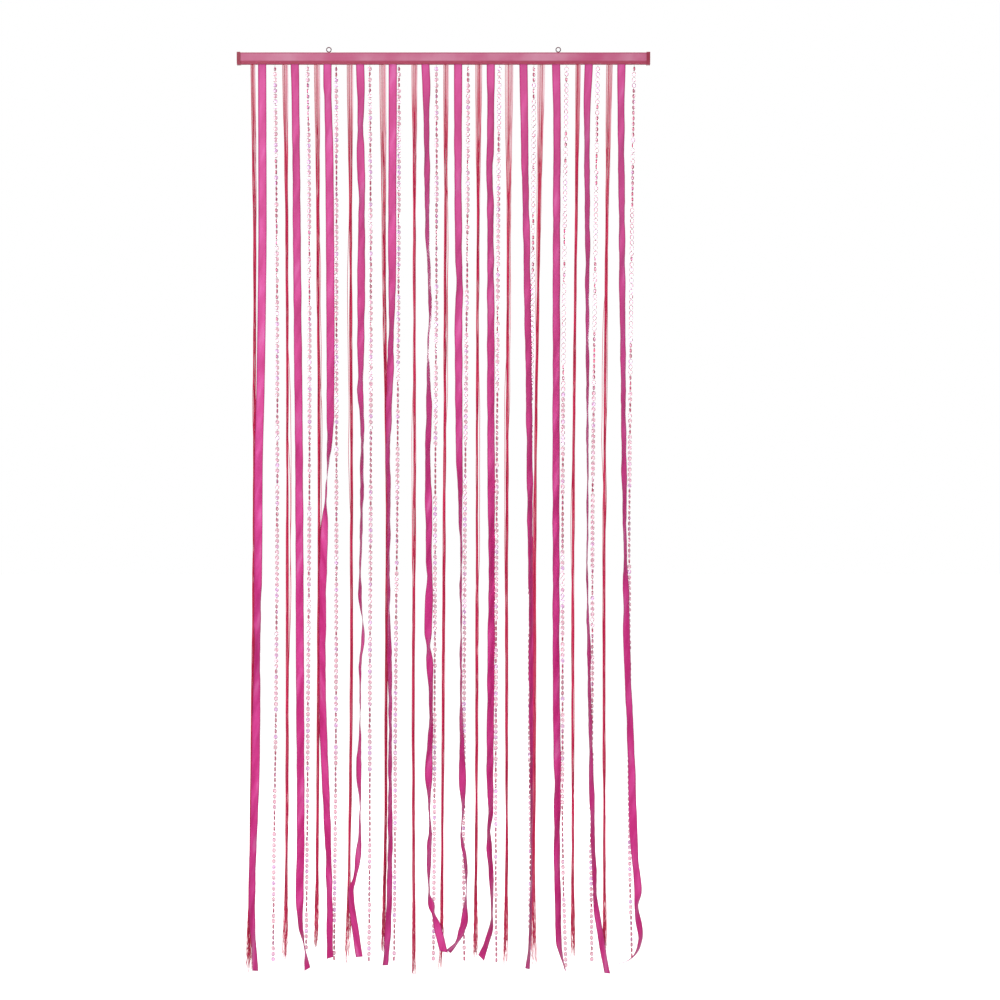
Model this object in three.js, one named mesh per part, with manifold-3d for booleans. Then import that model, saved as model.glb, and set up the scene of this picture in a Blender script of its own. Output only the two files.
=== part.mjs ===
// Ribbon door curtain: a slotted rail with two screw eyes, from which hang twelve groups of
// one yarn bundle, one satin ribbon and one string of beads. Millimetres, +Z up.
// The origin is the middle of the rail's top face; -Y faces the viewer.
import * as THREE from 'three';
import { mergeVertices } from 'three/addons/utils/BufferGeometryUtils.js';
import Module from 'manifold-3d';

const wasm = await Module();
wasm.setup();

// Rail: an extruded channel, open below along its whole length.
const CURTAIN_WIDTH = 900;
const RAIL_DEPTH = 16;
const RAIL_HEIGHT = 25;
const RAIL_WALL = 2;
const RAIL_BEVEL_HEIGHT = 7;
const RAIL_BEVEL_INSET = 3;
const RAIL_EDGE = 1.2;
const SLOT_HALF = 2.5;
const UNDERSIDE = -RAIL_HEIGHT;
const SHELF = UNDERSIDE + RAIL_WALL;
const SEAT_GAP = 0.3;

// End caps: cups that slip over the ends of the rail.
const CAP_LENGTH = 8;
const CAP_PLATE = 3;
const CAP_LIP = 1.2;
const RAIL_HALF = CURTAIN_WIDTH / 2 - CAP_PLATE - SEAT_GAP;

// Screw eyes.
const EYE_OFFSET = 250;
const EYE_RING_RADIUS = 5;
const EYE_WIRE_RADIUS = 1;
const EYE_COLLAR_RADIUS = 2.2;
const EYE_COLLAR_HEIGHT = 1.2;
const EYE_SHANK_DEPTH = 9;
const EYE_HOLE_RADIUS = EYE_WIRE_RADIUS + 0.4;

// The hanging pieces.
const RIBBON_WIDTH = 18;
const RIBBON_THICKNESS = 1.2;
const RIBBON_STEP = 110;
const RIBBON_TURN_STEP = THREE.MathUtils.degToRad(16);
const GROUP_PITCH = 71.2;
const FIRST_RIBBON = -395.5;
const YARN_RADIUS = 0.8;
const YARN_SIDES = 3;
const YARN_PITCH = 2.1;
const YARN_ROOT_MARGIN = 1.5;
const THREAD_HALF = 0.6;
const BEAD_HALF_WIDTH = 3.2;
const BEAD_HALF_DEPTH = 2;
const FIRST_BEAD_DROP = 4;
const SETTLE_DROP = 160;

// Roots: the blocks inside the channel that each piece hangs by.
const ROOT_HALF_DEPTH = 3.4;
const ROOT_HEIGHT = 9;
const ROOT_START = -8;
const RIBBON_ROOT_WIDTH = RIBBON_WIDTH + 1;
const BEAD_ROOT_WIDTH = 5;

const DOWN = new THREE.Vector3(0, 0, -1);
const ACROSS = new THREE.Vector3(1, 0, 0);

const rows = (columns, table) =>
  table.map((row) => Object.fromEntries(columns.map((column, i) => [column, row[i]])));

// Ribbons. depth: how far behind (+) or before (-) the slot the ribbon settles. cut: slant of its
// end. folds: drop below the rail, sideways shift from the root and turn about the ribbon's own
// length in degrees; 0 faces the viewer, 90 shows the edge. lean moves a fold in depth.
const foldRows = (table) => rows(['drop', 'shift', 'turn', 'lean'], table);
const RIBBONS = [
  {
    depth: -5, cut: 4,
    folds: foldRows([
      [185, 1, 4], [405, 1, 2], [700, -3, 6], [863, -7, 4], [1060, -8, 18], [1168, -9, 35],
      [1277, -10, 54], [1408, -12, 24], [1539, -14, 15], [1713, -19, 39], [1822, -22, 44],
      [1890, -20, 58], [1975, -14, 50],
    ]),
  },
  {
    depth: -4, cut: 8,
    folds: foldRows([
      [40, 1, 22], [185, 3, 28], [405, 5, 25], [700, 8, 22], [950, 10, 25], [1408, 12, 15],
      [1539, 13, 30], [1713, 13, 20], [1800, 11, 20], [1866, 12, 55], [1899, 17, 75],
      [1931, 22, 108], [1972, 27, 138],
    ]),
  },
  {
    depth: -4, cut: 6,
    folds: foldRows([
      [46, 0, 10], [70, 1, 34], [185, 4, 14], [405, 6, 12], [680, 7, 22], [797, 6, 46],
      [863, 2, 76], [905, -1, 96], [950, -4, 110], [1027, -7, 160], [1168, -10, 150],
      [1408, -10, 150], [1539, -5, 160], [1735, 3, 140], [1947, 6, 147],
    ]),
  },
  {
    depth: -8, cut: 1,
    folds: foldRows([
      [35, 1, 8], [78, 2, 36], [144, 1, 50], [220, 2, 20], [300, 4, 46], [450, 3, 28],
      [620, 2, 38], [678, 2, 58], [711, 0, 45], [760, 4, 66], [950, 4, 71], [1090, 1, 82],
      [1158, 1, 68], [1234, 7, 108], [1321, 0, 112], [1408, 1, 97], [1550, -3, 132],
      [1600, 0, 104], [1670, 0, 99], [1713, -2, 134], [1770, -11, 118], [1800, -19, 128],
      [1850, -15, 150], [1944, -1, 148],
    ]),
  },
  {
    depth: -10, cut: 1,
    folds: foldRows([
      [185, 0, 18], [405, -1, 15], [500, -1, 36], [580, -3, 56], [656, -5, 39], [732, -7, 50],
      [863, -10, 60], [950, -8, 68], [1168, -9, 75], [1310, -6, 62], [1408, -5, 70],
      [1604, -5, 63], [1757, -6, 54], [1866, -9, 48], [1962, -16, 50],
    ]),
  },
  {
    depth: -8, cut: 10,
    folds: foldRows([
      [46, 2, 10], [98, 2, 45], [185, 3, 48], [384, 5, 66], [536, 11, 73], [602, 7, 83],
      [711, 7, 62], [754, 8, 44], [863, 5, 56], [950, 7, 36], [1081, 8, 45], [1114, 10, 55],
      [1168, 8, 22], [1234, 6, 25], [1267, 7, 66], [1299, 9, 40], [1408, 13, 68],
      [1474, 10, 50], [1550, 7, 34], [1598, 8, 73], [1670, 11, 70], [1703, 9, 55],
      [1807, 8, 78], [1833, 14, 42], [1849, 18, 70], [1877, 26, 33, -2], [1932, 40, 20, -4],
    ]),
  },
  {
    depth: -8, cut: 2,
    folds: foldRows([
      [185, 0, 28], [405, 1, 32], [470, 3, 46], [560, 1, 22], [860, 3, 42], [950, 5, 58],
      [1038, 6, 76], [1386, 7, 75], [1474, 8, 60], [1561, 10, 30], [1615, 10, 70],
      [1681, 7, 78], [1724, 15, 66], [1790, 18, 80], [1833, 16, 68], [1866, 14, 25],
      [1888, 8, 30, 4], [1910, 0, 54, 9], [1925, -11, 42, 14], [1936, -21, 30, 16],
    ]),
  },
  {
    depth: 6, cut: 8,
    folds: foldRows([
      [36, 0, 12], [70, 0, 34], [185, -1, 30], [230, -3, 42], [296, -1, 42], [620, 0, 28],
      [950, 1, 30], [1081, 2, 42], [1278, 1, 30], [1539, -2, 36], [1626, 0, 52],
      [1674, -4, 66], [1713, -3, 44], [1790, 2, 60], [1855, 3, 76, -1], [1888, -1, 60, -4],
      [1920, -11, 45, -10], [1946, -21, 24, -14],
    ]),
  },
  {
    depth: 2, cut: 4,
    folds: foldRows([
      [185, 3, 30], [405, 7, 35], [700, 12, 40], [950, 14, 48], [1168, 17, 52],
      [1408, 19, 39], [1539, 20, 54], [1692, 19, 67], [1850, 17, 66], [1920, 14, 66],
      [1972, 9, 60],
    ]),
  },
  {
    depth: 3, cut: 8,
    folds: foldRows([
      [120, 2, 25], [405, 1, 25], [950, 0, 30], [1168, 0, 34], [1408, 1, 28], [1539, 3, 32],
      [1713, 2, 38], [1822, 4, 42], [1910, 6, 42], [1931, 9, 62], [1953, 14, 80],
      [1977, 21, 86],
    ]),
  },
  {
    depth: -6, cut: 6,
    folds: foldRows([
      [100, -4, 36], [405, -3, 55], [700, -3, 70], [950, -3, 78], [1168, -3, 76],
      [1256, 0, 65], [1408, 2, 65], [1539, 5, 58], [1604, 7, 51], [1713, 10, 57],
      [1822, 15, 54], [1888, 24, 42], [1931, 31, 49], [1980, 40, 42],
    ]),
  },
  {
    depth: -4, cut: 0,
    folds: foldRows([
      [80, -1, 30], [405, 1, 40], [700, 4, 50], [950, 6, 54], [1049, 8, 67], [1103, 9, 52],
      [1168, 10, 39], [1278, 12, 35], [1408, 17, 34], [1539, 22, 25], [1670, 26, 10],
      [1735, 30, 30], [1800, 36, 22], [1833, 33, 52], [1866, 37, 42], [1899, 42, 58],
      [1928, 36, 58], [1945, 25, 72], [1956, 8, 84], [1959, -8, 88],
    ]),
  },
];

// Yarn bundles of seven cords. root: place of the root beside its ribbon. fan: extra spread at the
// root. gather: drop at which the cords have closed up. s0400 to sEnd: sideways shift at those
// drops. depth as above. fray: spread of the loose ends. ragged: how unequal the ends are.
const YARN_COLUMNS = ['root', 'fan', 'gather', 's0400', 's0950', 's1400', 's1700', 'sEnd',
  'depth', 'length', 'fray', 'ragged'];
const YARNS = rows(YARN_COLUMNS, [
  [-20, 2.2, 520, 3, 2, -2, -6, -11, 8, 1986, 9, 90],
  [-21, 3.4, 300, 4, 5, 4, 3, -1, 0, 1955, 7, 60],
  [-23, 3.2, 420, 2, 4, 2, 0, -3, 8, 1931, 3, 30],
  [-22, 4.0, 380, 1, 3, 2, -2, -6, 7, 1968, 9, 80],
  [-22, 4.6, 460, 3, 9, 7, 5, 0, 5, 1940, 4, 60],
  [-24, 3.6, 260, 0, 0, -3, -2, -2, 0, 1988, 3, 60],
  [-26, 3.2, 320, -2, -4, -7, -9, -11, 5, 1975, 5, 70],
  [-26, 4.6, 340, -2, -4, -5, -6, -8, 5, 1952, 5, 50],
  [-31, 6.2, 420, -2, -5, -6, -6, -9, 0, 1970, 4, 60],
  [-32, 5.2, 380, -6, -14, -15, -17, -17, -11, 1964, 8, 60],
  [-23, 2.8, 300, -5, -11, -12, -12, -12, 0, 1950, 5, 60],
  [-26, 4.0, 360, -6, -11, -12, -11, -11, 7, 1946, 3, 40],
]);
const STATION_DROPS = [0, 30, 120, 250, 400, 620, 850, 1080, 1300, 1520, 1740];
const YARN_TURN = Math.PI;
const YARN_TURNED_DROP = 1700;
const FRAY_LENGTH = 130;
// How much of its depth a bundle keeps where the slot squeezes it.
const SLOT_SQUEEZE = 0.6;

// Strings of beads, as the strand that the beads fill. Columns as for the yarn.
const BEAD_COLUMNS = ['root', 's0400', 's0950', 's1400', 's1700', 'sEnd', 'depth', 'length'];
const BEADS = rows(BEAD_COLUMNS, [
  [28, 4, 5, 2, -2, -4, 0, 1951],
  [28, 3, 3, 0, -2, -4, 10, 1927],
  [19, 0, 0, -1, -3, -5, 9, 1951],
  [21, 2, 2, 0, 0, -2, 0, 1951],
  [13.5, -1, -4, -8, -9, -11, 7, 1951],
  [24, 0, -3, -4, -5, -7, 8, 1951],
  [22, -2, -7, -9, -10, -9, 8, 1951],
  [19, -3, -6, -8, -8, -7, -9, 1951],
  [23, -2, -8, -9, -8, -9, 16, 1942],
  [23, -5, -9, -9, -9, -2, -9, 1962],
  [20, -5, -11, -12, -15, -13, 10, 1953],
  [28, -5, -10, -10, -10, -5, 10, 1945],
]);

const COLOURS = {
  rail: new THREE.MeshStandardMaterial({ color: 0xc2618f, roughness: 0.4, metalness: 0 }),
  cap: new THREE.MeshStandardMaterial({ color: 0xb03a66, roughness: 0.4, metalness: 0 }),
  eye: new THREE.MeshStandardMaterial({ color: 0xb9a9a6, roughness: 0.25, metalness: 1 }),
  ribbon: new THREE.MeshStandardMaterial({ color: 0xc8388e, roughness: 0.45, metalness: 0 }),
  yarn: new THREE.MeshStandardMaterial({ color: 0xc01a4c, roughness: 0.8, metalness: 0 }),
  beads: new THREE.MeshStandardMaterial({ color: 0xf0a6c0, roughness: 0.1, metalness: 0 }),
};

// A closed body through rings of points that run down the piece, each ring anticlockwise from above.
// Opposite walls are split along the same diagonal, so that a turned strip keeps its thickness.
function sweptSolid(rings) {
  const sides = rings[0].length;
  const points = rings.flat();
  const index = [];
  for (let ring = 0; ring < rings.length - 1; ring++) {
    for (let side = 0; side < sides; side++) {
      const a = ring * sides + side;
      const b = ring * sides + (side + 1) % sides;
      if (side < sides / 2) index.push(a, a + sides, b, b, a + sides, b + sides);
      else index.push(a, a + sides, b + sides, a, b + sides, b);
    }
  }
  const last = (rings.length - 1) * sides;
  for (let side = 1; side < sides - 1; side++) {
    index.push(0, side, side + 1);
    index.push(last, last + side + 1, last + side);
  }
  const geometry = new THREE.BufferGeometry();
  const position = new Float32Array(points.flatMap((point) => point.toArray()));
  geometry.setAttribute('position', new THREE.BufferAttribute(position, 3));
  geometry.setIndex(index);
  return geometry;
}

function toManifold(geometry) {
  const bare = geometry.clone();
  bare.deleteAttribute('normal');
  bare.deleteAttribute('uv');
  const merged = mergeVertices(bare, 1e-4);
  return new wasm.Manifold(new wasm.Mesh({
    numProp: 3,
    vertProperties: new Float32Array(merged.attributes.position.array),
    triVerts: new Uint32Array(merged.index.array),
  }));
}

function fromManifold(solid) {
  const mesh = solid.getMesh();
  const geometry = new THREE.BufferGeometry();
  geometry.setAttribute('position', new THREE.BufferAttribute(mesh.vertProperties, 3));
  geometry.setIndex(new THREE.BufferAttribute(mesh.triVerts, 1));
  return geometry;
}

function joined(geometries) {
  return fromManifold(geometries.map(toManifold).reduce((whole, piece) => whole.add(piece)));
}

// A smooth line through rows that each have x, y and z, with their other columns carried along it.
function smoothLine(line) {
  const runs = [0];
  for (let i = 1; i < line.length; i++) {
    const step = Math.hypot(line[i].x - line[i - 1].x, line[i].y - line[i - 1].y,
      line[i].z - line[i - 1].z);
    runs.push(runs[i - 1] + step);
  }
  const slope = (key, i) => {
    const before = Math.max(i - 1, 0);
    const after = Math.min(i + 1, line.length - 1);
    return (line[after][key] - line[before][key]) / (runs[after] - runs[before]);
  };
  const at = (key, run) => {
    let i = 0;
    while (i < line.length - 2 && run > runs[i + 1]) i++;
    const span = runs[i + 1] - runs[i];
    const t = THREE.MathUtils.clamp((run - runs[i]) / span, 0, 1);
    const rise = t * t * (3 - 2 * t);
    const start = t * (1 - t) * (1 - t) * span * slope(key, i);
    const end = t * t * (1 - t) * span * slope(key, i + 1);
    return line[i][key] * (1 - rise) + line[i + 1][key] * rise + start - end;
  };
  const place = (run) => new THREE.Vector3(at('x', run), at('y', run), at('z', run));
  return { runs, at, place };
}

const settled = (depth, drop) =>
  depth * THREE.MathUtils.smoothstep(drop, 0, SETTLE_DROP);

function rootBlock(x, width) {
  const block = new THREE.BoxGeometry(width, ROOT_HALF_DEPTH * 2, ROOT_HEIGHT);
  return block.translate(x, 0, SHELF + SEAT_GAP + ROOT_HEIGHT / 2);
}

function ribbon({ depth, cut, folds }, root) {
  const start = [{ drop: ROOT_START, shift: 0, turn: 0 }, { drop: 2, shift: 0, turn: 0 }];
  const line = smoothLine([...start, ...folds].map(({ drop, shift, turn, lean = 0 }) => ({
    x: root + shift,
    y: settled(depth, drop) + lean,
    z: UNDERSIDE - drop,
    turn: THREE.MathUtils.degToRad(turn),
  })));
  const stops = [];
  line.runs.slice(1).forEach((run, i) => {
    const turned = Math.abs(line.at('turn', run) - line.at('turn', line.runs[i]));
    const steps = Math.ceil(Math.max((run - line.runs[i]) / RIBBON_STEP, turned / RIBBON_TURN_STEP));
    for (let step = 0; step < steps; step++) {
      stops.push(line.runs[i] + (run - line.runs[i]) * step / steps);
    }
  });
  stops.push(line.runs.at(-1));
  const rings = stops.map((run, i) => {
    const along = line.place(run + 1).sub(line.place(run - 1)).normalize();
    if (i === 0) along.copy(DOWN);
    const flat = ACROSS.clone().addScaledVector(along, -ACROSS.dot(along)).normalize();
    const wide = flat.applyAxisAngle(along, -line.at('turn', run));
    const thick = wide.clone().cross(along);
    const slant = i === stops.length - 1 ? cut / 2 : 0;
    const corner = (w, t) => line.place(run)
      .addScaledVector(wide, w * RIBBON_WIDTH / 2)
      .addScaledVector(thick, t * RIBBON_THICKNESS / 2)
      .addScaledVector(along, w * slant);
    return [corner(-1, -1), corner(1, -1), corner(1, 1), corner(-1, 1)];
  });
  return joined([sweptSolid(rings), rootBlock(root, RIBBON_ROOT_WIDTH)]);
}

function hangingLine(shape, root) {
  const knots = [
    { drop: ROOT_START, shift: 0 }, { drop: 0, shift: 0 }, { drop: 400, shift: shape.s0400 },
    { drop: 950, shift: shape.s0950 }, { drop: 1400, shift: shape.s1400 },
    { drop: 1700, shift: shape.s1700 }, { drop: shape.length, shift: shape.sEnd },
  ];
  const line = smoothLine(knots.map(({ drop, shift }) => ({ x: root + shift, y: 0, z: -drop })));
  return (drop) => {
    const run = drop - ROOT_START;
    return new THREE.Vector3(line.at('x', run), settled(shape.depth, drop), UNDERSIDE - drop);
  };
}

// Six cords round one, named by the order in which they stand in the row at the slot.
function cordPlaces() {
  const side = YARN_PITCH * Math.sqrt(3) / 2;
  const half = YARN_PITCH / 2;
  return [[-YARN_PITCH, 0], [-half, side], [-half, -side], [0, 0], [half, side], [half, -side],
    [YARN_PITCH, 0]];
}

function yarnBundle(shape, root) {
  const centre = hangingLine(shape, root);
  const places = cordPlaces();
  const middle = (places.length - 1) / 2;
  const cords = places.map(([px, py], k) => {
    const order = (k - middle) / middle;
    const shorter = shape.ragged * ((k * 3) % places.length) / places.length;
    const length = shape.length - shorter;
    const drops = [ROOT_START, ...STATION_DROPS, length - FRAY_LENGTH / 2, length];
    const rings = drops.map((drop) => {
      const gathered = THREE.MathUtils.smoothstep(drop, 0, shape.gather);
      const loose = THREE.MathUtils.smoothstep(drop, length - FRAY_LENGTH, length);
      const spread = shape.fan * (1 - gathered) + shape.fray * loose;
      const turned = THREE.MathUtils.smoothstep(drop, shape.gather, YARN_TURNED_DROP);
      const turn = YARN_TURN * turned;
      const x = px + spread * order;
      const y = py * THREE.MathUtils.lerp(SLOT_SQUEEZE, 1, gathered);
      const at = centre(drop);
      at.x += x * Math.cos(turn) - y * Math.sin(turn);
      at.y += x * Math.sin(turn) + y * Math.cos(turn);
      return Array.from({ length: YARN_SIDES }, (_, side) => {
        const angle = 2 * Math.PI * side / YARN_SIDES;
        return at.clone().add(new THREE.Vector3(
          YARN_RADIUS * Math.cos(angle), YARN_RADIUS * Math.sin(angle), 0));
      });
    });
    return sweptSolid(rings);
  });
  const width = 2 * (YARN_PITCH + shape.fan + YARN_ROOT_MARGIN);
  return joined([...cords, rootBlock(root, width)]);
}

function beadString(shape, root) {
  const centre = hangingLine(shape, root);
  const section = (drop, halfWidth, halfDepth) => {
    const at = centre(drop);
    const corner = (x, y) => at.clone().add(new THREE.Vector3(x * halfWidth, y * halfDepth, 0));
    return [corner(-1, -1), corner(1, -1), corner(1, 1), corner(-1, 1)];
  };
  const rings = [
    section(ROOT_START, THREAD_HALF, THREAD_HALF),
    section(FIRST_BEAD_DROP - 1, THREAD_HALF, THREAD_HALF),
    section(FIRST_BEAD_DROP, BEAD_HALF_WIDTH, BEAD_HALF_DEPTH),
    ...STATION_DROPS.slice(1).map((drop) => section(drop, BEAD_HALF_WIDTH, BEAD_HALF_DEPTH)),
    section(shape.length, BEAD_HALF_WIDTH, BEAD_HALF_DEPTH),
  ];
  return joined([sweptSolid(rings), rootBlock(root, BEAD_ROOT_WIDTH)]);
}

// The rail's outline in depth and height, grown outwards by a margin.
function railOutline(grow) {
  const side = RAIL_DEPTH / 2 + grow;
  const foot = RAIL_DEPTH / 2 - RAIL_BEVEL_INSET + grow;
  const knee = UNDERSIDE + RAIL_BEVEL_HEIGHT;
  return [[-foot, UNDERSIDE - grow], [foot, UNDERSIDE - grow], [side, knee],
    [side, grow - RAIL_EDGE], [side - RAIL_EDGE, grow], [RAIL_EDGE - side, grow],
    [-side, grow - RAIL_EDGE], [-side, knee]];
}

// Extrudes an outline of depth and height along X from one place to another.
function alongRail(outline, from, to) {
  const shape = new THREE.Shape(outline.map(([y, z]) => new THREE.Vector2(y, z)));
  const geometry = new THREE.ExtrudeGeometry(shape, { depth: to - from, bevelEnabled: false });
  const turned = new THREE.Matrix4().makeBasis(
    new THREE.Vector3(0, 1, 0), new THREE.Vector3(0, 0, 1), new THREE.Vector3(1, 0, 0));
  return geometry.applyMatrix4(turned).translate(from, 0, 0);
}

function rail() {
  const wallDepth = RAIL_DEPTH / 2 - RAIL_WALL;
  const knee = UNDERSIDE + RAIL_BEVEL_HEIGHT;
  const shelfHalf = wallDepth - RAIL_BEVEL_INSET * (knee - SHELF) / RAIL_BEVEL_HEIGHT;
  const hollow = [[-shelfHalf, SHELF], [-SLOT_HALF, SHELF], [-SLOT_HALF, UNDERSIDE - 1],
    [SLOT_HALF, UNDERSIDE - 1], [SLOT_HALF, SHELF], [shelfHalf, SHELF], [wallDepth, knee],
    [wallDepth, -RAIL_WALL], [-wallDepth, -RAIL_WALL], [-wallDepth, knee]];
  const holes = [-EYE_OFFSET, EYE_OFFSET].map((x) => {
    const hole = new THREE.CylinderGeometry(EYE_HOLE_RADIUS, EYE_HOLE_RADIUS, 3 * RAIL_WALL, 12);
    return toManifold(hole.rotateX(Math.PI / 2).translate(x, 0, -RAIL_WALL / 2));
  });
  const bar = toManifold(alongRail(railOutline(0), -RAIL_HALF, RAIL_HALF))
    .subtract(toManifold(alongRail(hollow, -RAIL_HALF - 1, RAIL_HALF + 1)));
  return fromManifold(holes.reduce((body, hole) => body.subtract(hole), bar));
}

function endCap(side) {
  const outer = CURTAIN_WIDTH / 2;
  const mouth = outer - CAP_LENGTH;
  const plate = outer - CAP_PLATE;
  const cup = toManifold(alongRail(railOutline(CAP_LIP), mouth, outer))
    .subtract(toManifold(alongRail(railOutline(SEAT_GAP), mouth - 1, plate)));
  return fromManifold(side > 0 ? cup : cup.rotate([0, 0, 180]));
}

function screwEye(x) {
  const ringHeight = SEAT_GAP + EYE_COLLAR_HEIGHT + EYE_RING_RADIUS + EYE_WIRE_RADIUS / 2;
  const ring = new THREE.TorusGeometry(EYE_RING_RADIUS, EYE_WIRE_RADIUS, 8, 20)
    .rotateX(Math.PI / 2).translate(x, 0, ringHeight);
  const collar = new THREE.CylinderGeometry(EYE_COLLAR_RADIUS, EYE_COLLAR_RADIUS,
    EYE_COLLAR_HEIGHT, 12).rotateX(Math.PI / 2)
    .translate(x, 0, SEAT_GAP + EYE_COLLAR_HEIGHT / 2);
  const shankLength = EYE_SHANK_DEPTH + SEAT_GAP + EYE_COLLAR_HEIGHT / 2;
  const shank = new THREE.CylinderGeometry(EYE_WIRE_RADIUS, EYE_WIRE_RADIUS, shankLength, 10)
    .rotateX(Math.PI / 2).translate(x, 0, shankLength / 2 - EYE_SHANK_DEPTH);
  return joined([ring, collar, shank]);
}

const curtain = new THREE.Group();

function add(name, geometry, material) {
  const mesh = new THREE.Mesh(geometry, material);
  mesh.name = name;
  curtain.add(mesh);
}

add('rail', rail(), COLOURS.rail);
add('cap_left', endCap(-1), COLOURS.cap);
add('cap_right', endCap(1), COLOURS.cap);
add('eye_left', screwEye(-EYE_OFFSET), COLOURS.eye);
add('eye_right', screwEye(EYE_OFFSET), COLOURS.eye);
RIBBONS.forEach((shape, i) => {
  const root = FIRST_RIBBON + i * GROUP_PITCH;
  const number = String(i + 1).padStart(2, '0');
  add(`yarn_${number}`, yarnBundle(YARNS[i], root + YARNS[i].root), COLOURS.yarn);
  add(`ribbon_${number}`, ribbon(shape, root), COLOURS.ribbon);
  add(`beads_${number}`, beadString(BEADS[i], root + BEADS[i].root), COLOURS.beads);
});

export default curtain;
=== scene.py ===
"""Ribbon door curtain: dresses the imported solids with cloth, cord, beads, metal and plastic."""

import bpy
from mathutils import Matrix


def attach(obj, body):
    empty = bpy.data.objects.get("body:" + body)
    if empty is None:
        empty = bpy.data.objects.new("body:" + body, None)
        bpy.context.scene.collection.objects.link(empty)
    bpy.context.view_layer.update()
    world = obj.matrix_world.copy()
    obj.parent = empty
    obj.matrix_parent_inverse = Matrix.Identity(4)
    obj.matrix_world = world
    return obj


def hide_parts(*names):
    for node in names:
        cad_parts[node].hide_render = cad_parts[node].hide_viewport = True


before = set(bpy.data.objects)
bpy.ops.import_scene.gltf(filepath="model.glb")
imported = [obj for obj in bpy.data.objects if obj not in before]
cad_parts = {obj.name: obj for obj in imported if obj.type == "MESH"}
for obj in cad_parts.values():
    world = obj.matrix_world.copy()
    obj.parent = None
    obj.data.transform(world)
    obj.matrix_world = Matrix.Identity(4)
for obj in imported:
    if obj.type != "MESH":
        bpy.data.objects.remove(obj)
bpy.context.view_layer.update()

import math
import random
from functools import partial

import bmesh
import bpy
from mathutils import Matrix, Vector

bl_info = {
    "name": "Ribbon door curtain",
    "version": (1, 0, 0),
    "blender": (4, 5, 0),
    "location": "3D View > Sidebar > Curtain",
    "description": "Builds the ribbons, yarn bundles, bead strings and fittings of a door curtain",
    "category": "Object",
}

# Millimetres to Blender's metres.
MM = 0.001

# Places that the solids share, in millimetres.
UNDERSIDE = -25.0
GROUP_PITCH = 71.2
FIRST_RIBBON = -395.5
GROUPS = 12
ROOT_START = -8.0
SETTLE_DROP = 160.0
EYE_OFFSET = 250.0
SEAT_GAP = 0.3

# Each kind of piece draws its chances from its own seeds, one for each group.
RIBBON_SEED, YARN_SEED, BEAD_SEED = 100, 300, 700

# How far apart, in millimetres, the rings of points lie along each kind of strand.
RIBBON_RINGS, CORD_RINGS, FILAMENT_RINGS, THREAD_RINGS = 4, 9, 14, 6

# Curly threads that have come loose at the end of each bundle.
LOOSE_THREADS = 11

# Over its last 170 mm a bundle comes loose, and by 1.7 m down it has made half a turn.
LOOSE_END, HALF_TURN_DROP = 170, 1700

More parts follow.
